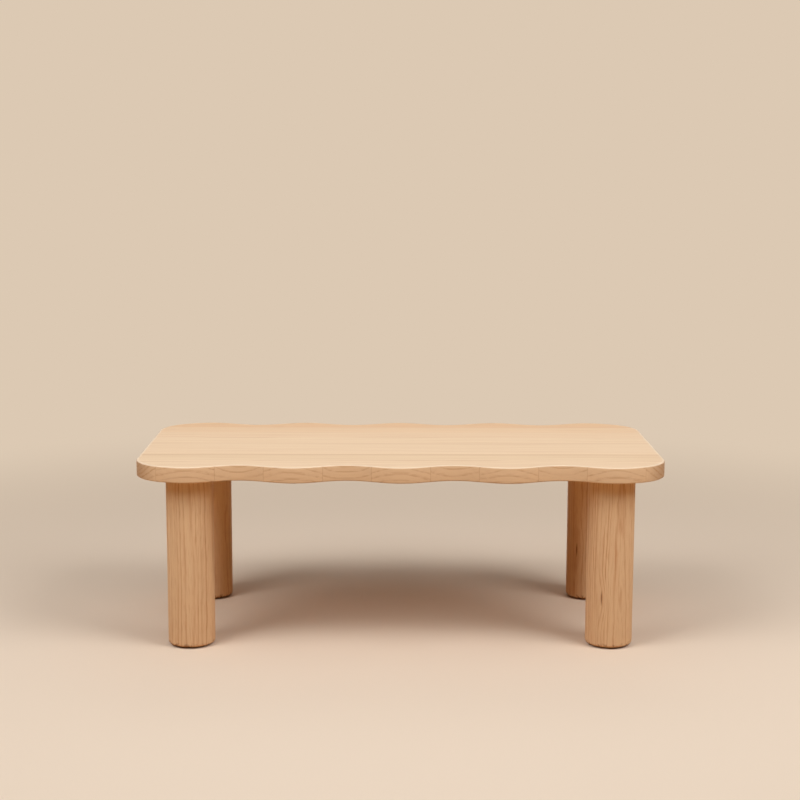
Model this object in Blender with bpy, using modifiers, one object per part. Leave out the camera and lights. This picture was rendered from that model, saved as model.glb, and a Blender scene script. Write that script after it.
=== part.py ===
"""Coffee table: a wavy-edged top of glued staves on four thick turned legs.

Metres, +Z up. The origin is on the floor below the middle of the top, +X runs
along the table and -Y is its front.
"""
import math

import bmesh
import bpy

# Whole table
TABLE_HEIGHT = 0.430
FIT_GAP = 0.0003             # between pieces that touch, and for the glue line

# Top
TOP_LENGTH = 1.200
TOP_WIDTH = 0.600            # from the front crests to the back crests
TOP_THICKNESS = 0.036
EDGE_ROUND = 0.003           # rounding of the rim, above and below
CREST_COUNT = 5              # crests along each long edge
WAVE_DEPTH = 0.032           # from a crest to a dip
CORNER_RADIUS = 0.105
STAVE_WIDTH = 0.0727         # the staves are laid from the back edge forwards
NARROWEST_STAVE = 0.006      # a remainder below this stays on the last stave
PLANING_ALLOWANCE = 0.005    # how far a stave's blank stands past the finished top

# Legs
LEG_DIAMETER = 0.107
LEG_INSET = 0.0975           # from the crest line in to the leg's axis
LEG_TOP_CHAMFER = 0.001
FOOT_ROUND = 0.007

# Felt glides
GLIDE_THICKNESS = 0.003
GLIDE_MARGIN = 0.0065        # bare rim left around the glide on the foot's flat

# Leg fixings: a hanger bolt in each leg and a threaded insert in the top
BOLT_DIAMETER = 0.010
BOLT_IN_LEG = 0.050
BOLT_CHAMFER = 0.001
BOLT_TIP_LENGTH = 0.008
BOLT_TIP_DIAMETER = 0.004
INSERT_LENGTH = 0.022
INSERT_WALL = 0.0027
INSERT_CHAMFER = 0.001
BOLT_END_CLEARANCE = 0.002   # from the bolt's end to the insert's top

# Fineness of the curved outlines
WAVE_STEPS = 16              # straight pieces in one wave
CORNER_STEPS = 8
ROUND_STEPS = 3              # facets in the rim's rounding
FOOT_STEPS = 5               # facets in the foot's rounding
LEG_SIDES = 40
HARDWARE_SIDES = 20
WELD_DISTANCE = 0.00001
HALVINGS = 60                # steps in the search for the corner's touching point
RIM_ANGLE = math.radians(45)  # only the rim of the top turns more sharply than this

# Worked out from the sizes above
WAVE_PITCH = TOP_LENGTH / CREST_COUNT
OUTER_CREST = WAVE_PITCH * (CREST_COUNT - 1) / 2
UNDERSIDE = TABLE_HEIGHT - TOP_THICKNESS
LEG_RADIUS = LEG_DIAMETER / 2
LEG_FOOT = GLIDE_THICKNESS + FIT_GAP
LEG_HEAD = UNDERSIDE - FIT_GAP
BOLT_RADIUS = BOLT_DIAMETER / 2
BORE_RADIUS = BOLT_RADIUS + FIT_GAP
INSERT_RADIUS = BORE_RADIUS + INSERT_WALL
INSERT_HOLE_RADIUS = INSERT_RADIUS + FIT_GAP
INSERT_HOLE_DEPTH = INSERT_LENGTH + FIT_GAP

# The legs stand under the outer crests of both long edges
LEG_PLACES = {
    "front_left": (-OUTER_CREST, LEG_INSET - TOP_WIDTH / 2),
    "front_right": (OUTER_CREST, LEG_INSET - TOP_WIDTH / 2),
    "back_left": (-OUTER_CREST, TOP_WIDTH / 2 - LEG_INSET),
    "back_right": (OUTER_CREST, TOP_WIDTH / 2 - LEG_INSET),
}


def clear_scene():
    """Remove every object that the scene starts with."""
    for obj in list(bpy.data.objects):
        bpy.data.objects.remove(obj, do_unlink=True)


def make_collection(name):
    """Add a collection to the scene."""
    collection = bpy.data.collections.new(name)
    bpy.context.scene.collection.children.link(collection)
    return collection


def linear(channel):
    """Turn one sRGB channel, 0 to 255, into a linear value."""
    value = channel / 255
    if value <= 0.04045:
        return value / 12.92
    return ((value + 0.055) / 1.055) ** 2.4


def make_material(name, colour, roughness, metallic=0.0):
    """Make a plain finish from an sRGB colour."""
    material = bpy.data.materials.new(name)
    material.use_nodes = True
    shader = material.node_tree.nodes["Principled BSDF"]
    red, green, blue = colour
    shader.inputs["Base Color"].default_value = (linear(red), linear(green), linear(blue), 1.0)
    shader.inputs["Roughness"].default_value = roughness
    shader.inputs["Metallic"].default_value = metallic
    return material


def add_object(name, mesh, collection, material=None):
    """Put a mesh in the scene as a named object."""
    obj = bpy.data.objects.new(name, mesh)
    collection.objects.link(obj)
    if material is not None:
        mesh.materials.append(material)
    return obj


def make_cutter(obj):
    """Mark an object as a tool that shapes others and isn't part of the table."""
    obj.hide_render = True
    obj.display_type = "WIRE"
    return obj


def add_boolean(obj, operation, cutter):
    """Cut an object by another, or keep only what lies inside it."""
    boolean = obj.modifiers.new(f"{operation.title()} {cutter.name}", "BOOLEAN")
    boolean.operation = operation
    boolean.solver = "EXACT"
    boolean.object = cutter


def box_mesh(name, size):
    """Make a box of the given size about its own centre."""
    mesh = bpy.data.meshes.new(name)
    bm = bmesh.new()
    bmesh.ops.create_cube(bm, size=1.0)
    bmesh.ops.scale(bm, vec=size, verts=bm.verts)
    bm.to_mesh(mesh)
    bm.free()
    return mesh


def turned_object(name, profile, sides, collection, material=None, closed=False):
    """Turn a profile of (radius, height) points about the object's own Z axis."""
    mesh = bpy.data.meshes.new(name)
    points = [(radius, 0.0, height) for radius, height in profile]
    edges = [(index, index + 1) for index in range(len(points) - 1)]
    if closed:
        edges.append((len(points) - 1, 0))
    mesh.from_pydata(points, edges, [])
    obj = add_object(name, mesh, collection, material)
    screw = obj.modifiers.new("Turn", "SCREW")
    screw.axis = "Z"
    screw.angle = math.tau
    screw.steps = sides
    screw.render_steps = sides
    screw.use_merge_vertices = True
    screw.merge_threshold = WELD_DISTANCE
    screw.use_smooth_shade = True
    return obj


def wave_edge(x):
    """Distance of the back edge from the table's long axis, without its corners."""
    turns = x / WAVE_PITCH - (CREST_COUNT - 1) / 2
    return TOP_WIDTH / 2 - WAVE_DEPTH * (1 - math.cos(math.tau * turns)) / 2


def wave_normal(x):
    """Outward direction of the wavy edge, as (x, y)."""
    turns = x / WAVE_PITCH - (CREST_COUNT - 1) / 2
    slope = -WAVE_DEPTH * math.pi / WAVE_PITCH * math.sin(math.tau * turns)
    length = math.hypot(slope, 1.0)
    return -slope / length, 1.0 / length


def corner_arc():
    """Corner rounding from the straight end to the wave, as points, the end first."""
    radius = min(CORNER_RADIUS, WAVE_PITCH / 2)
    centre_x = TOP_LENGTH / 2 - radius
    low = OUTER_CREST
    high = TOP_LENGTH / 2
    for _ in range(HALVINGS):
        touch = (low + high) / 2
        if touch - radius * wave_normal(touch)[0] < centre_x:
            low = touch
        else:
            high = touch
    across, outward = wave_normal(touch)
    centre_y = wave_edge(touch) - radius * outward
    sweep = math.atan2(outward, across)
    angles = [sweep * step / CORNER_STEPS for step in range(CORNER_STEPS + 1)]
    return [(centre_x + radius * math.cos(a), centre_y + radius * math.sin(a)) for a in angles]


def top_outline():
    """Outline of the top, anticlockwise from the back of its right end."""
    arc = corner_arc()
    touch = arc[-1][0]
    steps = max(1, round(touch / WAVE_PITCH * WAVE_STEPS))
    places = [touch * (1 - step / steps) for step in range(1, steps + 1)]
    right_half = arc + [(x, wave_edge(x)) for x in places]
    left_half = [(-x, y) for x, y in reversed(right_half[:-1])]
    back = right_half + left_half
    front = [(-x, -y) for x, y in back]
    return back + front


def top_form(collection):
    """The finished top's form, a rounded wavy slab that the staves are cut to."""
    name = "top_form"
    curve = bpy.data.curves.new(name, "CURVE")
    curve.dimensions = "2D"
    curve.fill_mode = "BOTH"
    curve.extrude = TOP_THICKNESS / 2
    outline = top_outline()
    spline = curve.splines.new("POLY")
    spline.points.add(len(outline) - 1)
    for point, (x, y) in zip(spline.points, outline):
        point.co = (x, y, 0.0, 1.0)
    spline.use_cyclic_u = True
    drawn = bpy.data.objects.new(name, curve)
    drawn.location.z = TABLE_HEIGHT - TOP_THICKNESS / 2
    collection.objects.link(drawn)

    graph = bpy.context.evaluated_depsgraph_get()
    mesh = bpy.data.meshes.new_from_object(drawn.evaluated_get(graph))
    place = drawn.matrix_world.copy()
    bpy.data.objects.remove(drawn, do_unlink=True)
    bm = bmesh.new()
    bm.from_mesh(mesh)
    bmesh.ops.remove_doubles(bm, verts=bm.verts, dist=WELD_DISTANCE)
    for side in (1, -1):
        flat = [face for face in bm.faces if face.normal.z * side > 0.5]
        bmesh.ops.dissolve_faces(bm, faces=flat)
    bm.to_mesh(mesh)
    bm.free()

    form = add_object(name, mesh, collection)
    form.matrix_world = place
    bevel = form.modifiers.new("Round the rim", "BEVEL")
    bevel.width = EDGE_ROUND
    bevel.segments = ROUND_STEPS
    bevel.limit_method = "ANGLE"
    bevel.angle_limit = RIM_ANGLE
    return make_cutter(form)


def insert_holes(collection):
    """Blind holes for the threaded inserts in the top's underside."""
    holes = []
    for corner, (x, y) in LEG_PLACES.items():
        profile = [
            (0.0, INSERT_HOLE_DEPTH),
            (INSERT_HOLE_RADIUS, INSERT_HOLE_DEPTH),
            (INSERT_HOLE_RADIUS, -PLANING_ALLOWANCE),
            (0.0, -PLANING_ALLOWANCE),
        ]
        hole = turned_object(f"insert_hole_{corner}", profile, HARDWARE_SIDES, collection)
        hole.location = (x, y, UNDERSIDE)
        holes.append(make_cutter(hole))
    return holes


def top_piece(name, x_span, y_span, form, holes, collection, material):
    """One wooden piece of the top: its blank, cut to the top's form and drilled."""
    x_low, x_high = x_span
    y_low, y_high = y_span
    size = (x_high - x_low, y_high - y_low, TOP_THICKNESS + 2 * PLANING_ALLOWANCE)
    piece = add_object(name, box_mesh(name, size), collection, material)
    piece.location = ((x_low + x_high) / 2, (y_low + y_high) / 2, TABLE_HEIGHT - TOP_THICKNESS / 2)
    add_boolean(piece, "INTERSECT", form)
    for hole in holes:
        x, y, _ = hole.location
        in_length = x_low - INSERT_HOLE_RADIUS < x < x_high + INSERT_HOLE_RADIUS
        in_width = y_low - INSERT_HOLE_RADIUS < y < y_high + INSERT_HOLE_RADIUS
        if in_length and in_width:
            add_boolean(piece, "DIFFERENCE", hole)


def glue_lines():
    """Glue lines from the back to the front, with the top's two edges as the ends."""
    lines = [TOP_WIDTH / 2]
    while lines[-1] - STAVE_WIDTH > NARROWEST_STAVE - TOP_WIDTH / 2:
        lines.append(lines[-1] - STAVE_WIDTH)
    lines.append(-TOP_WIDTH / 2)
    return lines


def build_top(parts, cutters, material):
    """The glued panel: full-length staves, and the crests left of a front stave."""
    form = top_form(cutters)
    holes = insert_holes(cutters)
    half_length = TOP_LENGTH / 2 + PLANING_ALLOWANCE
    half_width = TOP_WIDTH / 2 + PLANING_ALLOWANCE
    lines = glue_lines()
    last = len(lines) - 2
    for index, (back, front) in enumerate(zip(lines, lines[1:])):
        y_high = half_width if index == 0 else back - FIT_GAP / 2
        y_low = -half_width if index == last else front + FIT_GAP / 2
        cut_through = index == last and back - front < WAVE_DEPTH + FIT_GAP
        if not cut_through:
            name = f"top_stave_{index + 1}"
            span = (-half_length, half_length)
            top_piece(name, span, (y_low, y_high), form, holes, parts, material)
            continue
        for crest in range(CREST_COUNT):
            middle = crest * WAVE_PITCH - OUTER_CREST
            reach = WAVE_PITCH / 2 - FIT_GAP / 2
            left = -half_length if crest == 0 else middle - reach
            right = half_length if crest == CREST_COUNT - 1 else middle + reach
            name = f"front_lobe_{crest + 1}"
            top_piece(name, (left, right), (y_low, y_high), form, holes, parts, material)


def build_legs(parts, material):
    """Turned legs with a rounded foot and a blind bore for the hanger bolt."""
    foot = []
    for step in range(FOOT_STEPS + 1):
        angle = math.pi / 2 * step / FOOT_STEPS
        radius = LEG_RADIUS - FOOT_ROUND * (1 - math.cos(angle))
        foot.append((radius, LEG_FOOT + FOOT_ROUND * (1 - math.sin(angle))))
    bore_end = LEG_HEAD - BOLT_IN_LEG - FIT_GAP
    profile = [
        (0.0, bore_end),
        (BORE_RADIUS, bore_end),
        (BORE_RADIUS, LEG_HEAD),
        (LEG_RADIUS - LEG_TOP_CHAMFER, LEG_HEAD),
        (LEG_RADIUS, LEG_HEAD - LEG_TOP_CHAMFER),
        *foot,
        (0.0, LEG_FOOT),
    ]
    for corner, (x, y) in LEG_PLACES.items():
        leg = turned_object(f"leg_{corner}", profile, LEG_SIDES, parts, material)
        leg.location = (x, y, 0.0)


def build_glides(parts, material):
    """Felt discs under the feet."""
    radius = LEG_RADIUS - FOOT_ROUND - GLIDE_MARGIN
    profile = [
        (0.0, GLIDE_THICKNESS),
        (radius, GLIDE_THICKNESS),
        (radius, 0.0),
        (0.0, 0.0),
    ]
    for corner, (x, y) in LEG_PLACES.items():
        glide = turned_object(f"felt_glide_{corner}", profile, LEG_SIDES, parts, material)
        glide.location = (x, y, 0.0)


def build_hanger_bolts(parts, material):
    """Bolts with a pointed wood-screw end in the leg and a machine end in the insert."""
    head = UNDERSIDE + INSERT_LENGTH - BOLT_END_CLEARANCE
    tip = LEG_HEAD - BOLT_IN_LEG
    profile = [
        (0.0, head),
        (BOLT_RADIUS - BOLT_CHAMFER, head),
        (BOLT_RADIUS, head - BOLT_CHAMFER),
        (BOLT_RADIUS, tip + BOLT_TIP_LENGTH),
        (BOLT_TIP_DIAMETER / 2, tip),
        (0.0, tip),
    ]
    for corner, (x, y) in LEG_PLACES.items():
        bolt = turned_object(f"hanger_bolt_{corner}", profile, HARDWARE_SIDES, parts, material)
        bolt.location = (x, y, 0.0)


def build_inserts(parts, material):
    """Headless threaded inserts, flush with the underside of the top."""
    top = UNDERSIDE + INSERT_LENGTH
    profile = [
        (BORE_RADIUS, UNDERSIDE),
        (BORE_RADIUS, top),
        (INSERT_RADIUS - INSERT_CHAMFER, top),
        (INSERT_RADIUS, top - INSERT_CHAMFER),
        (INSERT_RADIUS, UNDERSIDE),
    ]
    for corner, (x, y) in LEG_PLACES.items():
        name = f"threaded_insert_{corner}"
        insert = turned_object(name, profile, HARDWARE_SIDES, parts, material, closed=True)
        insert.location = (x, y, 0.0)


def main():
    """Build the table."""
    clear_scene()
    parts = make_collection("coffee_table")
    cutters = make_collection("cutters")
    top_wood = make_material("top_wood", (232, 203, 164), 0.55)
    leg_wood = make_material("leg_wood", (206, 160, 113), 0.55)
    felt = make_material("felt", (58, 50, 45), 0.95)
    zinc_steel = make_material("zinc_steel", (190, 192, 196), 0.35, 1.0)
    brass = make_material("brass", (201, 170, 104), 0.35, 1.0)
    build_top(parts, cutters, top_wood)
    build_legs(parts, leg_wood)
    build_glides(parts, felt)
    build_hanger_bolts(parts, zinc_steel)
    build_inserts(parts, brass)


main()
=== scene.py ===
"""Wavy-edged coffee table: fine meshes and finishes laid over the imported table.

The file is laid out as a Blender add-on and is run as a script. Metres, +Z up, with
the table's front towards -Y.
"""
import math
from dataclasses import dataclass

import bmesh
import bpy
from bpy.props import FloatProperty, FloatVectorProperty, IntProperty, PointerProperty
from mathutils import Euler, Matrix, Vector


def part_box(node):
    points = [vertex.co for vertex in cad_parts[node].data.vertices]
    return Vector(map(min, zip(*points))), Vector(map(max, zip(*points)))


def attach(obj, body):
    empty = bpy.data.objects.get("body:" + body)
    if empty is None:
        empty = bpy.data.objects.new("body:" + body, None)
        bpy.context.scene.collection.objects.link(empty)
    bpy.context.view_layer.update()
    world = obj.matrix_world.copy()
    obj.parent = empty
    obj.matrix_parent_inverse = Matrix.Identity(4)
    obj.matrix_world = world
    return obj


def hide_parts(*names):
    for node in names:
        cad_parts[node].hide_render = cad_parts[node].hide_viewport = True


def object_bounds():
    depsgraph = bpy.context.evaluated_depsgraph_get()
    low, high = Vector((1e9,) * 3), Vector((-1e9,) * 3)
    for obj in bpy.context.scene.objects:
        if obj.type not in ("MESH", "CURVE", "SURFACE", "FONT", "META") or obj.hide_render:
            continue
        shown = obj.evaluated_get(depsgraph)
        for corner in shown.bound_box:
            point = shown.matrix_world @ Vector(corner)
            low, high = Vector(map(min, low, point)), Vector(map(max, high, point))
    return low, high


bl_info = {
    "name": "Wavy coffee table",
    "version": (1, 0, 0),
    "blender": (4, 5, 0),
    "location": "View3D > Sidebar > Coffee table",
    "description": "Builds a glued maple top with wavy edges on four turned legs",
    "category": "Object",
}

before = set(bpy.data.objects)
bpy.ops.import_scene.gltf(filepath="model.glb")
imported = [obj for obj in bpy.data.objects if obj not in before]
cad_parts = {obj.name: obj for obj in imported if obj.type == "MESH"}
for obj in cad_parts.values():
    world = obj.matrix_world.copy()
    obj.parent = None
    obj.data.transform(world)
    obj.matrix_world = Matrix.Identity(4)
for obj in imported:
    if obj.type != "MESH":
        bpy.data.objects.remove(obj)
CAD_LOW, CAD_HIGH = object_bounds()

BODY = "root"
CORNERS = ("front_left", "front_right", "back_left", "back_right")

# Fineness of the meshes
WAVE_STEPS = 64              # straight pieces in one wave of the edge
CORNER_STEPS = 24
ROUND_STEPS = 6              # pieces in each rounding of the rim
FOOT_STEPS = 10
LEG_SIDES = 128
FELT_SIDES = 96
COVE_STEPS = 24              # in the studio's bend from floor to wall
COVE_SIDES = 128
FIXING_SIDES = 32            # of the bolts, the inserts and their holes
THREAD_ROWS = 8              # rows of points in one turn of a thread
HALVINGS = 60                # steps in the search for the corner's touching point
WELD_DISTANCE = 0.000005
LOBE_MARGIN = 0.001          # past a lobe's box, within which its points are looked for
SHARP_ANGLE = math.radians(35)

# The strip along the rim of the top that gets a pale painted highlight
HIGHLIGHT_WIDTH = 0.005            # from where the rounding starts
HIGHLIGHT_STRIP = "rub"                  # attribute: how far a point of the top lies in the painted highlight's strip
PLANED = "planed"            # attribute: the top's flat faces inside that strip


def numbered(stem):
    """CAD nodes with this stem and a number, in the order of their numbers."""
    names = [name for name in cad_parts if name.startswith(stem)]
    return sorted(names, key=lambda name: int(name[len(stem):]))


STAVES = numbered("top_stave_")
LOBES = numbered("front_lobe_")
LEG_BOX = {corner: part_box(f"leg_{corner}") for corner in CORNERS}
FELT_BOX = {corner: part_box(f"felt_glide_{corner}") for corner in CORNERS}
BOLT_BOX = {corner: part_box(f"hanger_bolt_{corner}") for corner in CORNERS}
INSERT_BOX = {corner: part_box(f"threaded_insert_{corner}") for corner in CORNERS}
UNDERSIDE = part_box(STAVES[0])[0].z
TOP_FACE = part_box(STAVES[0])[1].z


def glue_lines():
    """Places of the glue lines, as y, from the back of the table to its front."""
    rows = STAVES + LOBES[:1]
    return [(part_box(back)[0].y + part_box(front)[1].y) / 2 for back, front in zip(rows, rows[1:])]


def hex_to_linear(code):
    """Turn an sRGB hex colour into linear red, green and blue."""
    channels = [int(code[place:place + 2], 16) / 255 for place in (1, 3, 5)]
    return tuple(c / 12.92 if c <= 0.04045 else ((c + 0.055) / 1.055) ** 2.4 for c in channels)


class TopSettings(bpy.types.PropertyGroup):
    """Sizes and colours of the glued top."""

    crests: IntProperty(
        name="Crests", description="Crests along each long edge", default=5, min=1)
    wave_depth: FloatProperty(
        name="Wave depth", description="From a crest to a dip", default=0.032,
        unit="LENGTH", subtype="DISTANCE")
    corner_radius: FloatProperty(
        name="Corner radius", description="Rounding of the four corners", default=0.105,
        unit="LENGTH", subtype="DISTANCE")
    rim_round: FloatProperty(
        name="Rim rounding", description="Rounding of the rim, above and below", default=0.003,
        unit="LENGTH", subtype="DISTANCE")
    face: FloatVectorProperty(
        name="Planed face", description="Pale wood of the planed faces",
        default=hex_to_linear("#F1D5B4"), subtype="COLOR")
    # Painted light: the routed edges' wood, made warmer than the planed face as painted warm bounce
    # light from the floor
    edge: FloatVectorProperty(
        name="Routed edge", description="Wood of the wavy edges, which drink more oil",
        default=hex_to_linear("#F5D2AA"), subtype="COLOR")
    end: FloatVectorProperty(
        name="End grain", description="Wood cut square across its fibres",
        default=hex_to_linear("#CDA884"), subtype="COLOR")
    ring: FloatVectorProperty(
        name="Growth ring", description="Thin dark line that closes each year's growth",
        default=hex_to_linear("#BC8048"), subtype="COLOR")
    # Painted highlight: the pale colour laid on the rim's upward rounding, where light catches it
    painted_highlight: FloatVectorProperty(
        name="Rubbed rim", description="Rim that hands and cloths have rubbed pale",
        default=hex_to_linear("#FBEBD6"), subtype="COLOR")


class LegSettings(bpy.types.PropertyGroup):
    """Sizes and colours of the turned legs."""

    foot_round: FloatProperty(
        name="Foot rounding", description="Rounding at the bottom of each leg", default=0.007,
        unit="LENGTH", subtype="DISTANCE")
    head_chamfer: FloatProperty(
        name="Head chamfer", description="Broken edge at the top of each leg", default=0.001,
        unit="LENGTH", subtype="DISTANCE")
    # Painted light: the legs' wood, made warmer than the top's planed face as painted warm bounce
    # light from the floor
    side: FloatVectorProperty(
        name="Turned side", description="Wood of the turned sides",
        default=hex_to_linear("#F6D2A7"), subtype="COLOR")
    end: FloatVectorProperty(
        name="End grain", description="Wood of the leg's two ends",
        default=hex_to_linear("#D6AD86"), subtype="COLOR")
    ring: FloatVectorProperty(
        name="Growth ring", description="Thin dark line that closes each year's growth",
        default=hex_to_linear("#BE6C2E"), subtype="COLOR")


class FixingSettings(bpy.types.PropertyGroup):
    """Sizes and colours of the felt glides, hanger bolts and threaded inserts."""

    felt: FloatVectorProperty(
        name="Felt", description="Pressed wool felt",
        default=hex_to_linear("#3A322D"), subtype="COLOR")
    zinc: FloatVectorProperty(
        name="Zinc", description="Bright zinc plating on the bolts",
        default=hex_to_linear("#BEC0C4"), subtype="COLOR")
    brass: FloatVectorProperty(
        name="Brass", description="Turned brass of the inserts",
        default=hex_to_linear("#C9AA68"), subtype="COLOR")
    machine_pitch: FloatProperty(
        name="Machine thread", description="Pitch of the bolt's machine thread", default=0.0015,
        unit="LENGTH", subtype="DISTANCE")
    machine_depth: FloatProperty(
        name="Machine thread depth", description="From the crest to the root", default=0.0009,
        unit="LENGTH", subtype="DISTANCE")
    wood_pitch: FloatProperty(
        name="Wood thread", description="Pitch of the threads that hold in wood", default=0.0042,
        unit="LENGTH", subtype="DISTANCE")
    wood_depth: FloatProperty(
        name="Wood thread depth", description="From the crest to the root", default=0.0014,
        unit="LENGTH", subtype="DISTANCE")
    tip_length: FloatProperty(
        name="Tip length", description="Tapered end of the bolt, in the leg", default=0.008,
        unit="LENGTH", subtype="DISTANCE")
    running_gap: FloatProperty(
        name="Running gap", description="Between the bolt and the insert's thread", default=0.0003,
        unit="LENGTH", subtype="DISTANCE")


class StudioSettings(bpy.types.PropertyGroup):
    """Floor, lamps and camera."""

    floor: FloatVectorProperty(
        name="Floor", description="Pale painted floor and cove",
        default=hex_to_linear("#ECDAC6"), subtype="COLOR")
    bounce: FloatVectorProperty(
        name="Floor bounce", description="Tone of the light that the floor throws back up",
        default=hex_to_linear("#BC9770"), subtype="COLOR")
    backdrop: FloatVectorProperty(
        name="Backdrop", description="Plain pale tone that the floor fades into",
        default=hex_to_linear("#DCC9B3"), subtype="COLOR")
    floor_radius: FloatProperty(
        name="Floor radius", description="Flat part of the floor", default=4.6,
        unit="LENGTH", subtype="DISTANCE")
    cove_radius: FloatProperty(
        name="Cove radius", description="Bend from the floor up to the wall", default=1.8,
        unit="LENGTH", subtype="DISTANCE")
    wall_height: FloatProperty(
        name="Wall height", description="Top of the wall above the floor", default=4.5,
        unit="LENGTH", subtype="DISTANCE")
    overhead_power: FloatProperty(
        name="Overhead power", description="Softbox above the table", default=10.0, unit="POWER")
    left_power: FloatProperty(
        name="Left power", description="Softbox in front, on the left", default=65.0, unit="POWER")
    right_power: FloatProperty(
        name="Right power", description="Softbox in front, on the right", default=74.0, unit="POWER")
    back_power: FloatProperty(
        name="Back power", description="Softbox behind the table", default=14.0, unit="POWER")
    sky: FloatProperty(
        name="Sky", description="Even light from all round", default=0.16)
    sky_tone: FloatVectorProperty(
        name="Sky tone", description="Tone of that even light",
        default=hex_to_linear("#FFFCF7"), subtype="COLOR")
    lens: FloatProperty(
        name="Lens", description="Focal length in millimetres", default=71.52, unit="CAMERA")
    camera_place: FloatVectorProperty(
        name="Camera place", description="Where the camera stands",
        default=(-0.0228, -3.7447, 1.1117), subtype="TRANSLATION")
    pitch: FloatProperty(
        name="Pitch", description="How far the camera looks down",
        default=math.radians(8.7456), subtype="ANGLE")
    yaw: FloatProperty(
        name="Yaw", description="Turn of the camera to the left",
        default=math.radians(-0.3330), subtype="ANGLE")
    roll: FloatProperty(
        name="Roll", description="Lean of the camera to the left",
        default=math.radians(0.1598), subtype="ANGLE")


def add_node(tree, kind, inputs, output=0, **settings):
    """Add a node with its settings; each input is a value or the socket that feeds it."""
    node = tree.nodes.new(f"ShaderNode{kind}")
    for name, value in settings.items():
        setattr(node, name, value)
    for key, value in inputs.items():
        if isinstance(value, bpy.types.NodeSocket):
            tree.links.new(value, node.inputs[key])
        else:
            node.inputs[key].default_value = value
    return node.outputs[output]


def new_material(name):
    """Start a material; gives its node tree and its shader."""
    material = bpy.data.materials.new(name)
    material.use_nodes = True
    return material, material.node_tree, material.node_tree.nodes["Principled BSDF"]


def opaque(colour):
    """A colour with its alpha."""
    return (*colour, 1.0)


NO_GLUE = (-9.0, 9.0)        # glue lines so far off that none shows


@dataclass
class Board:
    """How one board was sawn from the tree, and what marks it carries."""

    name: str
    centre: tuple            # middle of the board, in the table's axes
    turn: tuple              # turns the table's axes so that X runs along the grain
    pith: tuple              # middle of the tree from the board's middle, across the grain
    year: float              # width of one year's growth
    along: float             # where along its tree the board was cut
    tone: tuple = (1.0, 1.0, 1.0)    # its red, green and blue beside its neighbours; on the staves, partly painted light that evens out the lamps' fall from front to back
    rings_on_face: float = 0.30
    rings_on_edge: float = 0.42
    streaks: float = 0.15
    streaks_on_edge: float = 0.12
    glue: tuple = NO_GLUE    # places of the glue lines in front and behind, as y
    heart: float = 0.0       # dark heartwood along the glue line behind
    flecks: float = 0.0      # short dark flecks
    slit: tuple = ()         # place of a bark slit
    scuffs: float = 0.0      # how far up from the floor the foot is scuffed


@dataclass
class Finish:
    """Colours of one kind of maple surface."""

    face: tuple
    # upright faces; warmer than the face as painted warm bounce light
    edge: tuple
    end: tuple
    ring: tuple
    # painted highlight on the rim
    painted_highlight: tuple


BARK = hex_to_linear("#8A4316")

# Sizes of the maple's marks, along the grain and twice across it
STRAY = (0.20, 0.050, 0.050)     # waves in which the growth rings stray
STREAK = (0.30, 0.005, 0.005)
FIBRE = (0.04, 0.0008, 0.0008)   # drawn many times as wide as real fibres, so that they show
FLECK = (0.03, 0.0025, 0.0025)   # drawn twice as wide as real flecks, so that they show
WANDER = 0.016                   # how far the rings stray from true circles

# Sizes of the marks that have their own place on the table
SLIT = (0.0024, 0.020, 0.023)    # half a bark slit along X, Y and Z
SWELL = (0.022, 0.040, 0.075)    # half the bulge that the grain makes round it
SWELL_HEIGHT = 0.009
RAGGED = 0.02                    # how far the heartwood's border comes and goes
DENT = 0.009                     # dents at a scuffed foot
SCUFFED_THROUGH = 0.4            # share of the scuffed height that has all its dents

# How marks and kinds of surface come in, as numbered inputs of a Map Range node
NOISE_SPAN = {1: 0.3, 2: 0.7}                         # nearly all values of a noise
LATE_WOOD = {1: 0.50, 2: 0.88}                        # part of a year in which the wood darkens
YEAR_END = {1: 0.88, 2: 1.00, 3: 1.0, 4: 0.0}         # part in which it turns pale again
YEAR_STRENGTH = {3: 0.35, 4: 1.0}                     # from the faintest year to the boldest
SUMMER = {1: 0.10, 2: 0.95, 3: 0.0, 4: 0.1}           # slow darkening over the whole year
BREAKS = {1: 0.36, 2: 0.60, 3: 1.0, 4: 0.35}          # pale streaks that break the ring lines
FLECKED = {1: 0.48, 2: 0.72}                          # noise that leaves a few flecks
FLAT = {1: 0.55, 2: 0.95}                             # how level a planed face lies
CROSS_CUT = {1: 0.45, 2: 0.95}                        # how squarely an end faces along the grain
FACING_UP = {1: 0.15, 2: 0.50}                           # how far up the rim faces, where the painted highlight goes
# Painted highlight: how strongly it comes in across the strip along the rim
HIGHLIGHT_FADE = {1: 0.15, 2: 1.00, 3: 0.0, 4: 0.42}
GLUE_LINE = {1: 0.0001, 2: 0.0006, 3: 0.22, 4: 0.0}   # by the distance from the joint
HEARTWOOD = {1: 0.006, 2: 0.034}                      # by the distance from the joint
HEART_PATCHES = {1: 0.35, 2: 0.65, 3: 0.4, 4: 1.0}
SLIT_FADE = {1: 0.2, 2: 1.0, 3: 0.75, 4: 0.0}
DENTED = {1: 0.53, 2: 0.61, 3: 0.0, 4: 0.65}          # noise that leaves a few dents

# Strengths of the grain
UNEVEN_YEARS = 2.2               # by how many years good and poor years shift the rings
UNEVEN_RATE = 0.45               # how often they change, from year to year
FIBRE_PALENESS = 0.12
END_RINGS = 0.4                  # how much bolder the rings are on end grain


def from_middle(tree, place, middle, size):
    """Distance from the middle of a rounded mark, 1 at its border."""
    offset = add_node(tree, "VectorMath", {0: place, 1: middle}, operation="SUBTRACT")
    offset = add_node(tree, "VectorMath", {0: offset, 1: size}, operation="DIVIDE")
    return add_node(tree, "VectorMath", {0: offset}, "Value", operation="LENGTH")


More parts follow.
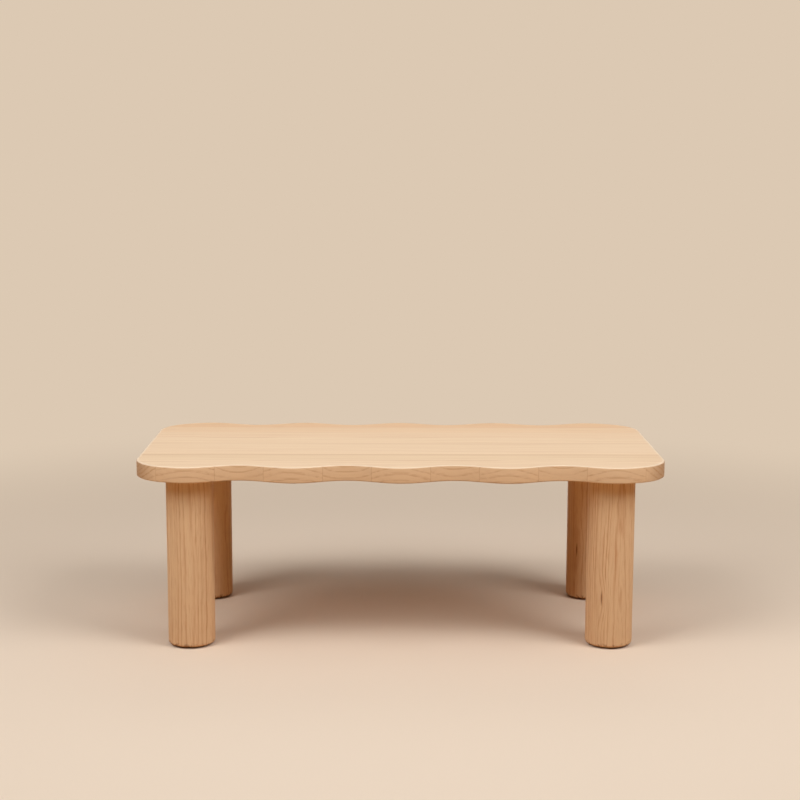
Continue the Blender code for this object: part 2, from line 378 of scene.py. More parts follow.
def grain_marks(tree, grain):
    """Noise stretched along the grain: long streaks, fine fibres and short flecks."""
    marks = []
    for size, detail in ((STREAK, 3.0), (FIBRE, 2.0), (FLECK, 2.0)):
        stretched = add_node(tree, "VectorMath", {0: grain, 1: size}, operation="DIVIDE")
        mark = add_node(tree, "TexNoise", {"Vector": stretched, "Scale": 1.0, "Detail": detail})
        marks.append(mark)
    return marks


def growth_rings(tree, board, place, grain, streak):
    """Circles round the pith, strayed by slow noise, with a thin dark line at each year's end."""
    slow = add_node(tree, "VectorMath", {0: grain, 1: STRAY}, operation="DIVIDE")
    stray = add_node(tree, "TexNoise", {"Vector": slow, "Scale": 1.0, "Detail": 3.5}, 1)
    stray = add_node(tree, "VectorMath", {0: stray, 1: (0.5, 0.5, 0.5)}, operation="SUBTRACT")
    strayed = add_node(
        tree, "VectorMath", {0: stray, 1: (0.0, WANDER, WANDER), 2: grain}, operation="MULTIPLY_ADD")
    across = add_node(tree, "VectorMath", {0: strayed, 1: (0.0, 1.0, 1.0)}, operation="MULTIPLY")
    radius = add_node(tree, "VectorMath", {0: across}, "Value", operation="LENGTH")
    if board.slit:
        near = from_middle(tree, place, board.slit, SWELL)
        swell = add_node(
            tree, "MapRange", {0: near, 3: SWELL_HEIGHT, 4: 0.0}, interpolation_type="SMOOTHSTEP")
        radius = add_node(tree, "Math", {0: radius, 1: swell}, operation="ADD")
    years = add_node(tree, "Math", {0: radius, 1: board.year}, operation="DIVIDE")
    uneven = add_node(
        tree, "TexNoise", {"W": years, "Scale": UNEVEN_RATE, "Detail": 1.0}, noise_dimensions="1D")
    years = add_node(tree, "Math", {0: uneven, 1: UNEVEN_YEARS, 2: years}, operation="MULTIPLY_ADD")
    season = add_node(tree, "Math", {0: years}, operation="FRACT")
    year = add_node(tree, "Math", {0: years}, operation="FLOOR")
    strength = add_node(tree, "TexWhiteNoise", {"W": year}, noise_dimensions="1D")
    strength = add_node(tree, "MapRange", {0: strength, **YEAR_STRENGTH})
    rise = add_node(tree, "MapRange", {0: season, **LATE_WOOD}, interpolation_type="SMOOTHSTEP")
    fall = add_node(tree, "MapRange", {0: season, **YEAR_END}, interpolation_type="SMOOTHSTEP")
    line = add_node(tree, "Math", {0: rise, 1: fall}, operation="MULTIPLY")
    line = add_node(tree, "Math", {0: line, 1: strength}, operation="MULTIPLY")
    breaks = add_node(tree, "MapRange", {0: streak, **BREAKS})
    line = add_node(tree, "Math", {0: line, 1: breaks}, operation="MULTIPLY")
    summer = add_node(tree, "MapRange", {0: season, **SUMMER})
    return add_node(tree, "Math", {0: line, 1: summer}, operation="ADD")


def surface_kinds(tree, facing, normal):
    """Masks of the planed faces, of the end grain and of the rim's painted highlight."""
    along = add_node(tree, "SeparateXYZ", {0: normal}, "X")
    along = add_node(tree, "Math", {0: along}, operation="ABSOLUTE")
    up = add_node(tree, "SeparateXYZ", {0: facing}, "Z")
    level = add_node(tree, "Math", {0: up}, operation="ABSOLUTE")
    flat = add_node(tree, "MapRange", {0: level, **FLAT}, interpolation_type="SMOOTHSTEP")
    ended = add_node(tree, "MapRange", {0: along, **CROSS_CUT}, interpolation_type="SMOOTHSTEP")
    # Painted highlight: the upward-facing part of the rim's strip, where light catches it
    facing_up = add_node(tree, "MapRange", {0: up, **FACING_UP}, interpolation_type="SMOOTHSTEP")
    near_rim = add_node(tree, "Attribute", {}, "Fac", attribute_name=HIGHLIGHT_STRIP)
    near_rim = add_node(tree, "MapRange", {0: near_rim, **HIGHLIGHT_FADE}, interpolation_type="SMOOTHSTEP")
    painted_highlight_mask = add_node(tree, "Math", {0: facing_up, 1: near_rim}, operation="MULTIPLY")
    return flat, ended, painted_highlight_mask


def grain_strokes(tree, board, flat, streak, fibre, fleck):
    """How dark the streaks, fibres and flecks are together."""
    bold = add_node(tree, "MapRange", {0: flat, 3: board.streaks_on_edge, 4: board.streaks})
    strokes = add_node(tree, "MapRange", {0: streak, **NOISE_SPAN, 3: bold, 4: 0.0})
    strokes = add_node(
        tree, "Math", {0: fibre, 1: -FIBRE_PALENESS, 2: strokes}, operation="MULTIPLY_ADD")
    flecks = add_node(tree, "MapRange", {0: fleck, **FLECKED, 3: 0.0, 4: board.flecks})
    return add_node(tree, "Math", {0: strokes, 1: flecks}, operation="ADD")


def joint_marks(tree, board, place, streak):
    """Masks of the glue lines and of the heartwood along the one behind."""
    depth = add_node(tree, "SeparateXYZ", {0: place}, "Y")
    to_front = add_node(tree, "Math", {0: depth, 1: board.glue[0]}, operation="SUBTRACT")
    to_back = add_node(tree, "Math", {0: board.glue[1], 1: depth}, operation="SUBTRACT")
    nearest = add_node(tree, "Math", {0: to_front, 1: to_back}, operation="MINIMUM")
    glued = add_node(tree, "MapRange", {0: nearest, **GLUE_LINE}, interpolation_type="SMOOTHSTEP")
    border = add_node(tree, "Math", {0: streak, 1: RAGGED, 2: to_back}, operation="MULTIPLY_ADD")
    heart = add_node(
        tree, "MapRange", {0: border, **HEARTWOOD, 3: board.heart, 4: 0.0},
        interpolation_type="SMOOTHSTEP")
    patches = add_node(tree, "MapRange", {0: streak, **HEART_PATCHES})
    heart = add_node(tree, "Math", {0: heart, 1: patches}, operation="MULTIPLY")
    return glued, heart


def dark_marks(tree, board, place):
    """Masks of a bark slit and of the dents at a scuffed foot, on boards that have them."""
    masks = []
    if board.slit:
        near = from_middle(tree, place, board.slit, SLIT)
        slit = add_node(tree, "MapRange", {0: near, **SLIT_FADE}, interpolation_type="SMOOTHSTEP")
        masks.append(slit)
    if board.scuffs:
        height = add_node(tree, "SeparateXYZ", {0: place}, "Z")
        full = SCUFFED_THROUGH * board.scuffs
        low = add_node(tree, "MapRange", {0: height, 1: full, 2: board.scuffs, 3: 1.0, 4: 0.0})
        dents = add_node(tree, "TexNoise", {"Vector": place, "Scale": 1 / DENT, "Detail": 2.0})
        dents = add_node(tree, "MapRange", {0: dents, **DENTED})
        masks.append(add_node(tree, "Math", {0: dents, 1: low}, operation="MULTIPLY"))
    return masks


def sawn_maple(board, finish):
    """Maple, sawn, planed or turned, and matt oiled.

    It is pale and close-grained. Each year's growth ends in a thin brown line, so that
    edges show arches, ends show rings and faces show long streaks. Fibres cut across
    drink more oil and go darker and warmer. Upright faces take a warmer colour as painted
    warm bounce light, and the rim's upward rounding a pale painted highlight.
    """
    material, tree, shader = new_material(board.name)
    middle = Euler(board.turn).to_matrix() @ Vector(board.centre)
    start = (board.along - middle.x, -middle.y - board.pith[0], -middle.z - board.pith[1])
    place = add_node(tree, "TexCoord", {}, "Object")
    facing = add_node(tree, "TexCoord", {}, "Normal")
    grain = add_node(tree, "Mapping", {"Vector": place, "Location": start, "Rotation": board.turn})
    normal = add_node(
        tree, "Mapping", {"Vector": facing, "Rotation": board.turn}, vector_type="VECTOR")
    streak, fibre, fleck = grain_marks(tree, grain)
    rings = growth_rings(tree, board, place, grain, streak)
    flat, ended, painted_highlight_mask = surface_kinds(tree, facing, normal)
    strokes = grain_strokes(tree, board, flat, streak, fibre, fleck)
    contrast = add_node(
        tree, "MapRange", {0: flat, 3: board.rings_on_edge, 4: board.rings_on_face})
    contrast = add_node(tree, "Math", {0: ended, 1: END_RINGS, 2: contrast}, operation="MULTIPLY_ADD")
    drawn = add_node(
        tree, "Math", {0: rings, 1: contrast, 2: strokes}, operation="MULTIPLY_ADD", use_clamp=True)
    glued, heart = joint_marks(tree, board, place, streak)

    # Each mask lays its colour over those before it
    layers = [(flat, finish.face), (ended, finish.end)]
    layers += [(mask, finish.ring) for mask in (drawn, glued, heart)]
    layers += [(mask, BARK) for mask in dark_marks(tree, board, place)]
    # Painted highlight: a pale colour on the rim's upward rounding
    layers.append((painted_highlight_mask, finish.painted_highlight))
    # Upright faces start from the edge colour, whose warmth is painted warm bounce light
    wood = opaque(finish.edge)
    for mask, colour in layers:
        wood = add_node(tree, "Mix", {0: mask, 6: wood, 7: opaque(colour)}, 2, data_type="RGBA")
    wood = add_node(tree, "VectorMath", {0: wood, 1: board.tone}, operation="MULTIPLY")
    tree.links.new(wood, shader.inputs["Base Color"])

    # Matt oil: fibres stand a few hundredths of a millimetre proud and break the gloss
    gloss = add_node(tree, "MapRange", {0: fibre, **NOISE_SPAN, 3: 0.52, 4: 0.64})
    tree.links.new(gloss, shader.inputs["Roughness"])
    shader.inputs["IOR"].default_value = 1.45
    shader.inputs["Specular IOR Level"].default_value = 0.2
    bump = add_node(tree, "Bump", {"Height": fibre, "Strength": 0.2, "Distance": 0.0001})
    tree.links.new(bump, shader.inputs["Normal"])
    return material


def add_piece(name, mesh, material, nodes):
    """Put a mesh in the scene as a piece that stands for CAD nodes."""
    piece = bpy.data.objects.new(name, mesh)
    bpy.context.scene.collection.objects.link(piece)
    mesh.materials.append(material)
    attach(piece, BODY)
    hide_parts(*nodes)
    return piece


def finish_mesh(bm, name):
    """Turn a bmesh into a mesh that is smooth except at its sharp edges."""
    bmesh.ops.recalc_face_normals(bm, faces=bm.faces)
    mesh = bpy.data.meshes.new(name)
    bm.to_mesh(mesh)
    bm.free()
    mesh.shade_smooth()
    mesh.set_sharp_from_angle(angle=SHARP_ANGLE)
    return mesh


def wave_edge(x, top):
    """The back edge at x: its distance from the table's long axis and its outward direction."""
    pitch = (CAD_HIGH.x - CAD_LOW.x) / top.crests
    angle = math.tau * (x / pitch - (top.crests - 1) / 2)
    reach = CAD_HIGH.y - top.wave_depth * (1 - math.cos(angle)) / 2
    slope = -top.wave_depth * math.pi / pitch * math.sin(angle)
    return reach, Vector((-slope, 1.0)).normalized()


def corner_arc(top):
    """Corner rounding from the straight end to the wave: points and outward directions."""
    pitch = (CAD_HIGH.x - CAD_LOW.x) / top.crests
    radius = min(top.corner_radius, pitch / 2)
    centre_x = CAD_HIGH.x - radius
    low = pitch * (top.crests - 1) / 2
    high = CAD_HIGH.x
    for _ in range(HALVINGS):
        touch = (low + high) / 2
        if touch - radius * wave_edge(touch, top)[1].x < centre_x:
            low = touch
        else:
            high = touch
    reach, outward = wave_edge(touch, top)
    centre = Vector((centre_x, reach - radius * outward.y))
    sweep = math.atan2(outward.y, outward.x)
    arc = []
    for step in range(CORNER_STEPS + 1):
        angle = sweep * step / CORNER_STEPS
        direction = Vector((math.cos(angle), math.sin(angle)))
        arc.append((centre + radius * direction, direction))
    return arc


def top_outline(top):
    """Outline of the top, anticlockwise, as points with their outward directions."""
    pitch = (CAD_HIGH.x - CAD_LOW.x) / top.crests
    right = corner_arc(top)
    touch = right[-1][0].x
    steps = round(touch / pitch * WAVE_STEPS)
    for step in range(1, steps + 1):
        x = touch * (1 - step / steps)
        reach, outward = wave_edge(x, top)
        right.append((Vector((x, reach)), outward))
    left = [(Vector((-p.x, p.y)), Vector((-d.x, d.y))) for p, d in reversed(right[:-1])]
    back = right + left
    return back + [(-point, -direction) for point, direction in back]


def quarter_round(radius, steps):
    """Rounding from a flat face to a side: how far in from the side, how far from the face."""
    angles = [math.pi / 2 * step / steps for step in range(steps + 1)]
    return [(radius * (1 - math.sin(angle)), radius * (1 - math.cos(angle))) for angle in angles]


def whole_top(top):
    """The top as one slab with rounded rims, before it is parted at the glue lines."""
    levels = [(top.rim_round + HIGHLIGHT_WIDTH, 0.0), *quarter_round(top.rim_round, ROUND_STEPS)]
    rows = [(inset, UNDERSIDE + rise) for inset, rise in levels]
    rows += [(inset, TOP_FACE - rise) for inset, rise in reversed(levels)]
    outline = top_outline(top)
    bm = bmesh.new()
    rub = bm.verts.layers.float.new(HIGHLIGHT_STRIP)
    planed = bm.faces.layers.int.new(PLANED)
    rings = []
    for inset, height in rows:
        ring = [point - direction * inset for point, direction in outline]
        rings.append([bm.verts.new((spot.x, spot.y, height)) for spot in ring])
    count = len(outline)
    for lower, upper in zip(rings, rings[1:]):
        for index in range(count):
            after = (index + 1) % count
            bm.faces.new((lower[index], lower[after], upper[after], upper[index]))
    # Points on the rounded rim carry the painted highlight
    for ring in rings[1:-1]:
        for vert in ring:
            vert[rub] = 1.0
    caps = [bm.faces.new(reversed(rings[0])), bm.faces.new(rings[-1])]
    for cap in caps:
        cap[planed] = 1
    bmesh.ops.triangulate(bm, faces=caps)
    return bm


def saw(bm, y, side):
    """Cut away what lies past a glue line, on its back (1) or front (-1), and close the cut."""
    everything = bm.verts[:] + bm.edges[:] + bm.faces[:]
    bmesh.ops.bisect_plane(
        bm, geom=everything, dist=WELD_DISTANCE, plane_co=(0.0, y, 0.0),
        plane_no=(0.0, side, 0.0), clear_outer=True)
    opened = [edge for edge in bm.edges if edge.is_boundary]
    bmesh.ops.holes_fill(bm, edges=opened, sides=0)


def join_flats(bm):
    """Make each planed face of the top one polygon again."""
    planed = bm.faces.layers.int[PLANED]
    for height in (UNDERSIDE, TOP_FACE):
        flats = []
        for face in bm.faces:
            if face[planed] and all(abs(vert.co.z - height) < WELD_DISTANCE for vert in face.verts):
                flats.append(face)
        bmesh.ops.dissolve_faces(bm, faces=flats)


def drill(piece, holes):
    """Cut round holes into a piece."""
    cutters = []
    for index, (x, y, radius, bottom, height) in enumerate(holes):
        bm = bmesh.new()
        bmesh.ops.create_cone(
            bm, cap_ends=True, segments=FIXING_SIDES, radius1=radius, radius2=radius, depth=height,
            matrix=Matrix.Translation((x, y, bottom + height / 2)))
        cutter = bpy.data.objects.new(f"drill_{index}", finish_mesh(bm, f"drill_{index}"))
        bpy.context.scene.collection.objects.link(cutter)
        boolean = piece.modifiers.new(f"Drill {index}", "BOOLEAN")
        boolean.operation = "DIFFERENCE"
        boolean.object = cutter
        cutters.append(cutter)
    graph = bpy.context.evaluated_depsgraph_get()
    drilled = bpy.data.meshes.new_from_object(piece.evaluated_get(graph))
    piece.modifiers.clear()
    piece.data = drilled
    for cutter in cutters:
        bpy.data.objects.remove(cutter, do_unlink=True)


def insert_holes(back, front):
    """Holes for the threaded inserts that reach into a stave between two glue lines."""
    holes = []
    for corner in CORNERS:
        low, high = INSERT_BOX[corner]
        middle = (low + high) / 2
        radius = (high.x - low.x) / 2
        if front < middle.y + radius and middle.y - radius < back:
            depth = high.z - UNDERSIDE
            holes.append((middle.x, middle.y, radius, UNDERSIDE - depth, 2 * depth))
    return holes


GRAIN_DIP = math.radians(0.5)    # how far a stave's grain dips along its length
GRAIN_SKEW = math.radians(0.3)   # how far it runs aslant
STAVE_SPACING = 1.7              # along the tree from one stave to the next, so that none repeats
BEYOND = 1.0                     # past the top's long edges, where there is no glue line


def stave_boards(lines):
    """How each stave was sawn.

    A row gives its rings' slope in degrees, how far off the tree's middle was, the width of
    its years, its tone and its heartwood. The tone is partly the board's own and partly
    painted light, set against the lamps so that the top renders evenly from front to back.
    """
    sawing = [
        (62, 0.085, 0.0075, (1.00, 0.89, 0.80), 0.0),
        (-48, 0.120, 0.0075, (1.03, 0.98, 0.94), 0.0),
        (74, 0.100, 0.0075, (1.03, 1.01, 1.00), 0.0),
        (28, 0.110, 0.0075, (1.03, 1.03, 1.03), 0.0),
        (-66, 0.090, 0.0075, (1.01, 1.01, 1.01), 0.2),
        (55, 0.130, 0.0075, (1.01, 1.01, 1.01), 0.0),
        (-35, 0.105, 0.0075, (0.96, 0.95, 0.93), 0.38),
        (32, 0.095, 0.0110, (0.98, 0.97, 0.96), 0.0),
        (40, 0.110, 0.0130, (1.00, 0.99, 0.98), 0.0),
    ]
    edges = [CAD_HIGH.y + BEYOND, *lines, CAD_LOW.y - BEYOND]
    boards = []
    for index, (slope, reach, year, tone, heart) in enumerate(sawing):
        back = edges[index]
        front = edges[index + 1]
        inner_back = min(back, CAD_HIGH.y)
        inner_front = max(front, CAD_LOW.y)
        lean = math.radians(slope)
        way = 1 if index % 2 else -1
        boards.append(Board(
            name=f"Maple, planed and matt oiled, board {index + 1}",
            centre=(0.0, (inner_back + inner_front) / 2, (UNDERSIDE + TOP_FACE) / 2),
            turn=(0.0, way * GRAIN_DIP, -way * GRAIN_SKEW),
            pith=(reach * math.sin(lean), reach * math.cos(lean)),
            year=year, along=index * STAVE_SPACING, tone=tone, glue=(front, back), heart=heart))
    return boards


class COFFEE_OT_planed_top(bpy.types.Operator):
    """Build the glued top: full-length staves, and the lobes that the wavy cut left of one more"""

    bl_idname = "coffee_table.planed_top"
    bl_label = "Planed top"

    def execute(self, context):
        top = context.scene.coffee_top
        finish = Finish(top.face[:], top.edge[:], top.end[:], top.ring[:], top.painted_highlight[:])
        lines = glue_lines()
        boards = stave_boards(lines)
        slab = whole_top(top)
        for index, node in enumerate(STAVES):
            bm = slab.copy()
            if index > 0:
                saw(bm, lines[index - 1], 1)
            saw(bm, lines[index], -1)
            join_flats(bm)
            material = sawn_maple(boards[index], finish)
            mesh = finish_mesh(bm, f"planed_{node}")
            piece = add_piece(f"planed_{node}", mesh, material, [node])
            back = lines[index - 1] if index > 0 else CAD_HIGH.y
            holes = insert_holes(back, lines[index])
            if holes:
                drill(piece, holes)
        material = sawn_maple(boards[-1], finish)
        saw(slab, lines[-1], 1)
        for node in LOBES:
            low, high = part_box(node)
            left = low.x - LOBE_MARGIN
            right = high.x + LOBE_MARGIN
            bm = slab.copy()
            others = [vert for vert in bm.verts if not left < vert.co.x < right]
            bmesh.ops.delete(bm, geom=others, context="VERTS")
            join_flats(bm)
            mesh = finish_mesh(bm, f"planed_{node}")
            add_piece(f"planed_{node}", mesh, material, [node])
        slab.free()
        return {"FINISHED"}


def turned(profile, sides, name):
    """Turn a profile of (radius, height) points round the Z axis."""
    bm = bmesh.new()
    points = [bm.verts.new((radius, 0.0, height)) for radius, height in profile]
    edges = [bm.edges.new(pair) for pair in zip(points, points[1:])]
    bmesh.ops.spin(
        bm, geom=points + edges, cent=(0.0, 0.0, 0.0), axis=(0.0, 0.0, 1.0), angle=math.tau,
        steps=sides, use_merge=True)
    bmesh.ops.remove_doubles(bm, verts=bm.verts, dist=WELD_DISTANCE)
    return finish_mesh(bm, name)


def moved(mesh, x, y):
    """Stand a mesh on another spot of the floor."""
    mesh.transform(Matrix.Translation((x, y, 0.0)))
    return mesh


LEG_SPACING = 1.3                # along the tree from one leg to the next, so that none repeats


def leg_boards():
    """How each leg was sawn.

    A row gives where the tree's middle was, the width of its years, how far its grain leans
    in degrees, the contrast of its rings and the place of any bark slit.
    """
    sawing = {
        "front_left": ((-0.020, 0.105), 0.0100, (0.9, -0.7), 0.44, ()),
        "front_right": ((-0.091, -0.037), 0.0078, (-0.8, 0.6), 0.60, (0.456, -0.250, 0.119)),
        "back_left": ((0.085, 0.050), 0.0090, (0.6, 0.9), 0.48, ()),
        "back_right": ((0.050, -0.090), 0.0090, (-0.7, -0.8), 0.60, (0.447, 0.158, 0.130)),
    }
    boards = {}
    for index, (corner, (pith, year, lean, contrast, slit)) in enumerate(sawing.items()):
        low, high = LEG_BOX[corner]
        middle = (low + high) / 2
        boards[corner] = Board(
            name=f"Maple, turned and matt oiled, {corner.replace('_', ' ')}",
            centre=(middle.x, middle.y, 0.0),
            turn=(math.radians(lean[0]), math.pi / 2, math.radians(lean[1])),
            pith=pith, year=year, along=index * LEG_SPACING,
            rings_on_face=contrast, rings_on_edge=contrast, streaks_on_edge=0.15,
            flecks=0.18, slit=slit, scuffs=0.015)
    return boards


class COFFEE_OT_turned_legs(bpy.types.Operator):
    """Turn the four legs, with a rounded foot and a bore for the hanger bolt"""

    bl_idname = "coffee_table.turned_legs"
    bl_label = "Turned legs"

    def execute(self, context):
        legs = context.scene.coffee_legs
        side = legs.side[:]
        finish = Finish(side, side, legs.end[:], legs.ring[:], side)
        for corner, board in leg_boards().items():
            low, high = LEG_BOX[corner]
            bolt_low, bolt_high = BOLT_BOX[corner]
            radius = (high.x - low.x) / 2
            bore = (bolt_high.x - bolt_low.x) / 2
            profile = [
                (0.0, bolt_low.z),
                (bore, bolt_low.z),
                (bore, high.z),
                (radius - legs.head_chamfer, high.z),
                (radius, high.z - legs.head_chamfer),
            ]
            foot = reversed(quarter_round(legs.foot_round, FOOT_STEPS))
            profile += [(radius - inset, low.z + rise) for inset, rise in foot]
            profile.append((0.0, low.z))
            middle = (low + high) / 2
            mesh = moved(turned(profile, LEG_SIDES, f"turned_leg_{corner}"), middle.x, middle.y)
            material = sawn_maple(board, finish)
            add_piece(f"turned_leg_{corner}", mesh, material, [f"leg_{corner}"])
        return {"FINISHED"}


MATTING = 0.0012                 # clumps of matted wool
FELT_SOFTNESS = 1 / 3            # share of the felt's thickness in each rounded edge


def pressed_felt(colour):
    """Wool felt, pressed and cut to a disc: short matted fibres, no gloss and a soft sheen."""
    material, tree, shader = new_material("Wool felt, pressed")
    place = add_node(tree, "TexCoord", {}, "Object")
    matted = add_node(
        tree, "TexNoise", {"Vector": place, "Scale": 1 / MATTING, "Detail": 6.0, "Distortion": 1.5})
    light = add_node(tree, "MapRange", {0: matted, **NOISE_SPAN, 3: 0.7, 4: 1.4})
    wool = add_node(tree, "VectorMath", {0: colour, "Scale": light}, operation="SCALE")
    tree.links.new(wool, shader.inputs["Base Color"])
    shader.inputs["Roughness"].default_value = 0.95
    shader.inputs["Specular IOR Level"].default_value = 0.2
    shader.inputs["Sheen Weight"].default_value = 0.3
    shader.inputs["Sheen Roughness"].default_value = 0.6
    bump = add_node(tree, "Bump", {"Height": matted, "Strength": 0.6, "Distance": 0.0004})
    tree.links.new(bump, shader.inputs["Normal"])
    return material


class COFFEE_OT_felt_glides(bpy.types.Operator):
    """Cut the felt discs under the feet, with edges that the weight has softened"""

    bl_idname = "coffee_table.felt_glides"
    bl_label = "Felt glides"

    def execute(self, context):
        material = pressed_felt(context.scene.coffee_fixings.felt[:])
        for corner in CORNERS:
            low, high = FELT_BOX[corner]
            radius = (high.x - low.x) / 2
            softened = quarter_round(FELT_SOFTNESS * (high.z - low.z), FOOT_STEPS)
            profile = [(0.0, high.z)]
            profile += [(radius - inset, high.z - drop) for inset, drop in softened]
            profile += [(radius - inset, low.z + rise) for inset, rise in reversed(softened)]
            profile.append((0.0, low.z))
            middle = (low + high) / 2
            mesh = moved(turned(profile, FELT_SIDES, f"pressed_felt_{corner}"), middle.x, middle.y)
            add_piece(f"pressed_felt_{corner}", mesh, material, [f"felt_glide_{corner}"])
        return {"FINISHED"}


SPANGLE = 0.002                  # cloudy spots in the zinc
TOOL_RING = 0.0002               # feed of the lathe tool for each turn
TOOL_CHATTER = 0.05              # how slowly a tool ring changes on its way round


def plated_steel(colour):
    """Steel, rolled and bright zinc plated: cool grey, with faint cloudy spots."""
    material, tree, shader = new_material("Steel, thread rolled and zinc plated")
    place = add_node(tree, "TexCoord", {}, "Object")
    cloud = add_node(tree, "TexNoise", {"Vector": place, "Scale": 1 / SPANGLE, "Detail": 4.0})
    light = add_node(tree, "MapRange", {0: cloud, **NOISE_SPAN, 3: 0.88, 4: 1.08})
    zinc = add_node(tree, "VectorMath", {0: colour, "Scale": light}, operation="SCALE")
    tree.links.new(zinc, shader.inputs["Base Color"])
    gloss = add_node(tree, "MapRange", {0: cloud, **NOISE_SPAN, 3: 0.26, 4: 0.42})
    tree.links.new(gloss, shader.inputs["Roughness"])
    shader.inputs["Metallic"].default_value = 1.0
    return material


def turned_brass(colour):
    """Brass, turned on a lathe: warm yellow, with fine tool rings round each piece."""
    material, tree, shader = new_material("Brass, turned")
    place = add_node(tree, "TexCoord", {}, "Object")
    rings = add_node(
        tree, "VectorMath", {0: place, 1: (TOOL_CHATTER, TOOL_CHATTER, TOOL_RING)}, operation="DIVIDE")
    tool = add_node(tree, "TexNoise", {"Vector": rings, "Scale": 1.0, "Detail": 2.0})
    light = add_node(tree, "MapRange", {0: tool, **NOISE_SPAN, 3: 0.9, 4: 1.06})
    brass = add_node(tree, "VectorMath", {0: colour, "Scale": light}, operation="SCALE")
    tree.links.new(brass, shader.inputs["Base Color"])
    gloss = add_node(tree, "MapRange", {0: tool, **NOISE_SPAN, 3: 0.25, 4: 0.4})
    tree.links.new(gloss, shader.inputs["Roughness"])
    shader.inputs["Metallic"].default_value = 1.0
    bump = add_node(tree, "Bump", {"Height": tool, "Strength": 0.2, "Distance": 0.00005})
    tree.links.new(bump, shader.inputs["Normal"])
    return material


@dataclass
class Thread:
    """A thread's section: the radius of its crest and root, its pitch, how thin its ridge is."""

    crest: float
    root: float
    pitch: float
    thinness: int

    def radius(self, height, turn, fullness):
        """Radius at a height and a share of a turn; fullness fades the ridge out at an end."""
        along = (height / self.pitch - turn) % 1.0
        ridge = (1.0 - abs(2.0 * along - 1.0)) ** self.thinness
        return self.root + (self.crest - self.root) * ridge * fullness


TIP_SHARE = 0.15             # thickness of the bolt's tip beside its shank


def thread_run(thread, start, end, runs_out=True, taper=0.0):
    """Rings of (radii, height) along one thread, which may run out at its ends or taper to a tip."""
    length = abs(end - start)
    steps = round(length / thread.pitch * THREAD_ROWS)
    rings = []
    for step in range(steps + 1):
        share = step / steps
        height = start + (end - start) * share
        to_end = length * min(share, 1.0 - share)
        fullness = min(1.0, to_end / thread.pitch) if runs_out else 1.0
        slim = min(1.0, TIP_SHARE + length * (1.0 - share) / taper) if taper else 1.0
        turns = [side / FIXING_SIDES for side in range(FIXING_SIDES)]
        rings.append(([slim * thread.radius(height, turn, fullness) for turn in turns], height))
    return rings


def threaded(rings, hollow, name):
    """Skin a row of rings: a rod is capped at both ends, a hollow piece closes on itself."""
    bm = bmesh.new()
    rows = []
    for radii, height in rings:
        row = []
        for side, radius in enumerate(radii):
            angle = math.tau * side / FIXING_SIDES
            row.append(bm.verts.new((radius * math.cos(angle), radius * math.sin(angle), height)))
        rows.append(row)
    if hollow:
        rows.append(rows[0])
    else:
        bm.faces.new(rows[0])
        bm.faces.new(reversed(rows[-1]))
    for upper, lower in zip(rows, rows[1:]):
        for side in range(FIXING_SIDES):
            after = (side + 1) % FIXING_SIDES
            bm.faces.new((upper[side], lower[side], lower[after], upper[after]))
    return finish_mesh(bm, name)


def machine_thread(corner, fixings, gap=0.0):
    """Thread of a corner's bolt, widened by a gap for the insert that it runs in."""
    low, high = BOLT_BOX[corner]
    crest = (high.x - low.x) / 2 + gap
    return Thread(crest, crest - fixings.machine_depth, fixings.machine_pitch, thinness=1)


def wood_thread(crest, fixings, thinness):
    """Coarse thread that holds in wood."""
    return Thread(crest, crest - fixings.wood_depth, fixings.wood_pitch, thinness)


class COFFEE_OT_rolled_bolts(bpy.types.Operator):
    """Roll the hanger bolts: a machine thread above the leg, a wood thread and a tip in it"""

    bl_idname = "coffee_table.rolled_bolts"
    bl_label = "Rolled bolts"

    def execute(self, context):
        fixings = context.scene.coffee_fixings
        material = plated_steel(fixings.zinc[:])
        for corner in CORNERS:
            low, high = BOLT_BOX[corner]
            head = LEG_BOX[corner][1].z
            machine = machine_thread(corner, fixings)
            wood = wood_thread(machine.crest, fixings, thinness=3)
            rings = thread_run(machine, high.z, head)
            rings += thread_run(wood, head - fixings.wood_pitch, low.z, taper=fixings.tip_length)
            name = f"rolled_bolt_{corner}"
            middle = (low + high) / 2
            mesh = moved(threaded(rings, False, name), middle.x, middle.y)
            add_piece(name, mesh, material, [f"hanger_bolt_{corner}"])
        return {"FINISHED"}


class COFFEE_OT_turned_inserts(bpy.types.Operator):
    """Turn the threaded inserts: a coarse thread outside and a machine thread inside"""

    bl_idname = "coffee_table.turned_inserts"
    bl_label = "Turned inserts"

    def execute(self, context):
        fixings = context.scene.coffee_fixings
        material = turned_brass(fixings.brass[:])
        for corner in CORNERS:
            low, high = INSERT_BOX[corner]
            grip = wood_thread((high.x - low.x) / 2, fixings, thinness=2)
            tapped = machine_thread(corner, fixings, fixings.running_gap)
            rings = thread_run(grip, high.z, low.z)
            rings += thread_run(tapped, low.z, high.z, runs_out=False)
            name = f"turned_insert_{corner}"
            middle = (low + high) / 2
            mesh = moved(threaded(rings, True, name), middle.x, middle.y)
            add_piece(name, mesh, material, [f"threaded_insert_{corner}"])
        return {"FINISHED"}


FADE_START = 0.75            # from the table's middle, where the lit floor starts to fade
FADE_END = 2.8               # where only the plain backdrop is left
ROLLER_DOT = 0.004           # dots that the paint roller leaves

# Softboxes: where each hangs, and its width and height
SOFTBOXES = {
    "overhead": ((-0.3, -0.6, 2.7), (2.0, 2.0)),
    "left": ((-2.1, -1.7, 2.95), (1.8, 2.3)),
    "right": ((2.25, -1.55, 2.95), (1.8, 2.3)),
    "back": ((0.2, 2.6, 2.95), (2.4, 1.8)),
}


